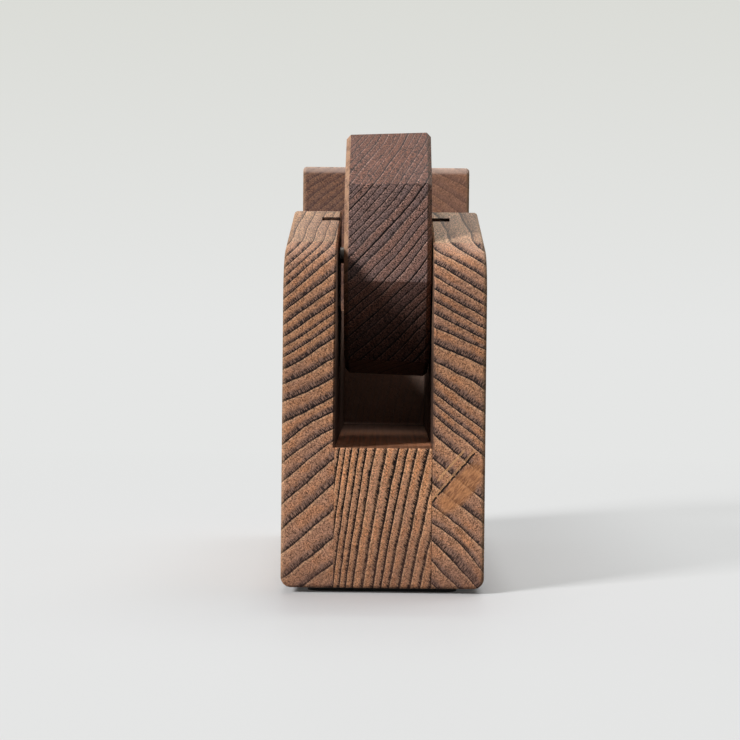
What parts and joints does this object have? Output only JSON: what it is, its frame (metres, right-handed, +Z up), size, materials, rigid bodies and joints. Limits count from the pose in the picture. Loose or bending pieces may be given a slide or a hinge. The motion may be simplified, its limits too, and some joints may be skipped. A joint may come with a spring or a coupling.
{
  "type": "tape dispenser",
  "caption": "Laminated wooden desk tape dispenser: slotted body with stepped sides, tapered octagonal reel on a lift-out axle, toothed steel blade on the head and a non-slip base pad.",
  "frame": {"origin": "on the table, under the middle of the whole object's box", "axes": "+Z up; +Y from the open tail end to the head with the blade; +X to the right as seen from the tail end, along the axle"},
  "size_m": [0.058, 0.1616, 0.1355],
  "materials": {
    "side_wood": "oiled, brown-stained ring-porous wood with raised grain",
    "centre_wood": "oiled, brown-stained ring-porous wood with raised grain",
    "reel_wood": "oiled, darker brown-stained wood",
    "axle_steel": "drawn rod, satin",
    "blade_steel": "brushed stainless",
    "screw_steel": "plain stainless",
    "ballast_steel": "black-oxide steel plate",
    "pad_rubber": "matt non-slip sheet"
  },
  "bodies": {
    "base": {"left_side_board": "side_wood", "right_side_board": "side_wood", "centre_board": "centre_wood", "cutter_blade": "blade_steel", "blade_screws": "screw_steel", "ballast_plate": "ballast_steel", "ballast_screws": "screw_steel", "base_pad": "pad_rubber"},
    "axle": {"reel_axle": "axle_steel"},
    "reel": {"tape_reel": "reel_wood"}
  },
  "joints": [
    {"name": "axle_lift", "type": "slide", "parent": "base", "child": "axle", "axis": [0, 0, 1], "range_m": [0, 0.08]},
    {"name": "reel_spin", "type": "hinge", "parent": "axle", "child": "reel", "pos_m": [0.00065, -0.02603, 0.098], "axis": [1, 0, 0], "continuous": true}
  ]
}
